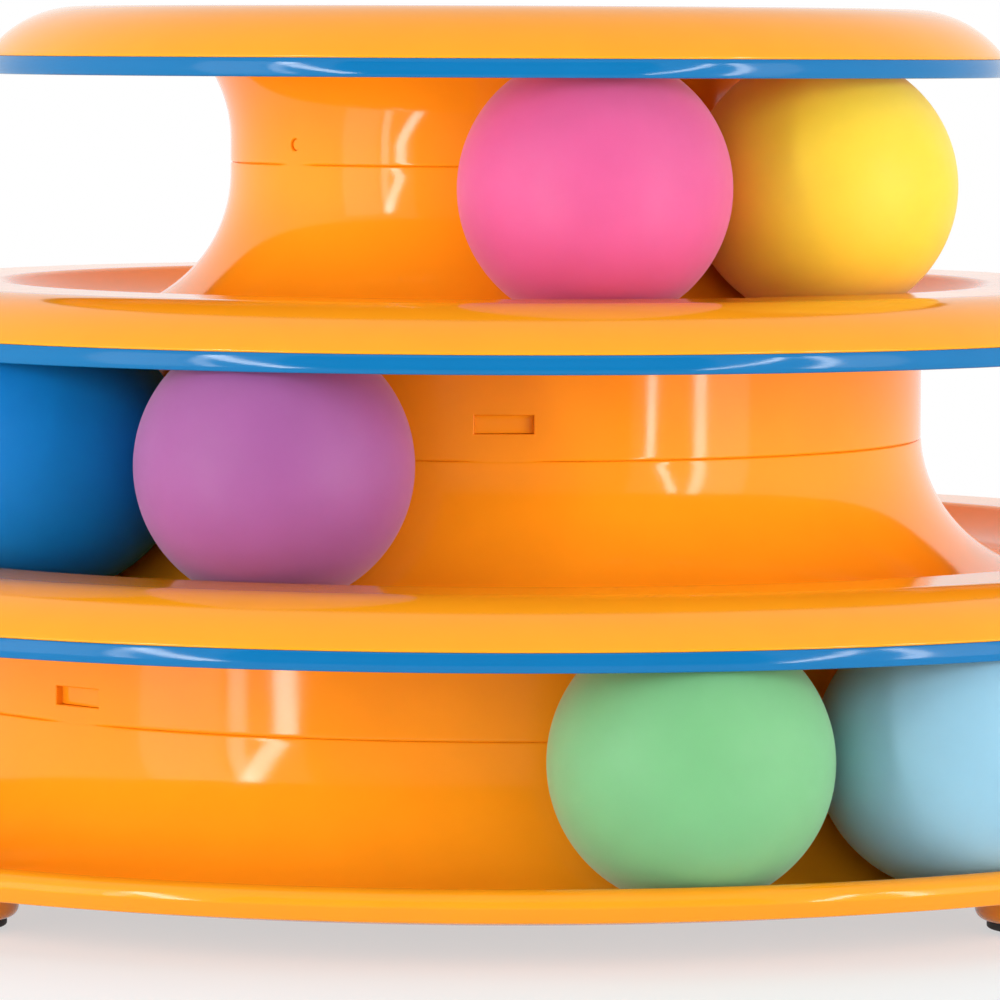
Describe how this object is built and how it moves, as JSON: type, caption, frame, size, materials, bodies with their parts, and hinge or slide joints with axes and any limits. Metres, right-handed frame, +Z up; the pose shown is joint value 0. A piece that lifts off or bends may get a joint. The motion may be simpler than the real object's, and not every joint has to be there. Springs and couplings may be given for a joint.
{
  "type": "cat ball track toy",
  "caption": "Round tower of stacked open ball troughs with overhanging trimmed decks, a closed cap and rubber-padded feet, for a cat to bat hollow balls round.",
  "frame": {"origin": "on the floor, on the tower's axis", "axes": "+Z up along the tower's axis; the pictured front faces -Y, and +X is to the viewer's right"},
  "size_m": [0.2578, 0.2579, 0.1313],
  "materials": {
    "orange_shell": "glossy orange moulded plastic",
    "blue_trim": "glossy blue moulded plastic",
    "pad_rubber": "matt black rubber",
    "pink_ball": "fine matt pink plastic",
    "yellow_ball": "fine matt yellow plastic",
    "purple_ball": "fine matt purple plastic",
    "dark_blue_ball": "fine matt dark blue plastic",
    "green_ball": "fine matt green plastic",
    "light_blue_ball": "fine matt light blue plastic"
  },
  "bodies": {
    "tower": {"base_tray": "orange_shell", "foot_pad_front_left": "pad_rubber", "foot_pad_front_right": "pad_rubber", "foot_pad_rear_left": "pad_rubber", "foot_pad_rear_right": "pad_rubber", "lower_deck": "orange_shell", "lower_trim_ring": "blue_trim", "upper_deck": "orange_shell", "upper_trim_ring": "blue_trim", "cap_collar": "orange_shell", "cap_top": "orange_shell", "cap_trim_ring": "blue_trim"},
    "pink": {"pink_ball": "pink_ball"},
    "yellow": {"yellow_ball": "yellow_ball"},
    "purple": {"purple_ball": "purple_ball"},
    "dark_blue": {"dark_blue_ball": "dark_blue_ball"},
    "green": {"green_ball": "green_ball"},
    "light_blue": {"light_blue_ball": "light_blue_ball"}
  },
  "joints": [
    {"name": "pink_travel", "type": "hinge", "parent": "tower", "child": "pink", "pos_m": [0, 0, 0.1049], "axis": [0, 0, 1], "continuous": true},
    {"name": "yellow_travel", "type": "hinge", "parent": "pink", "child": "yellow", "pos_m": [0, 0, 0.1049], "axis": [0, 0, 1], "range_deg": [0, 284]},
    {"name": "purple_travel", "type": "hinge", "parent": "tower", "child": "purple", "pos_m": [0, 0, 0.0659], "axis": [0, 0, 1], "continuous": true},
    {"name": "dark_blue_travel", "type": "hinge", "parent": "purple", "child": "dark_blue", "pos_m": [0, 0, 0.0659], "axis": [0, 0, 1], "range_deg": [-306, 0]},
    {"name": "green_travel", "type": "hinge", "parent": "tower", "child": "green", "pos_m": [0, 0, 0.0269], "axis": [0, 0, 1], "continuous": true},
    {"name": "light_blue_travel", "type": "hinge", "parent": "green", "child": "light_blue", "pos_m": [0, 0, 0.0269], "axis": [0, 0, 1], "range_deg": [-0.5, 317.5]}
  ]
}
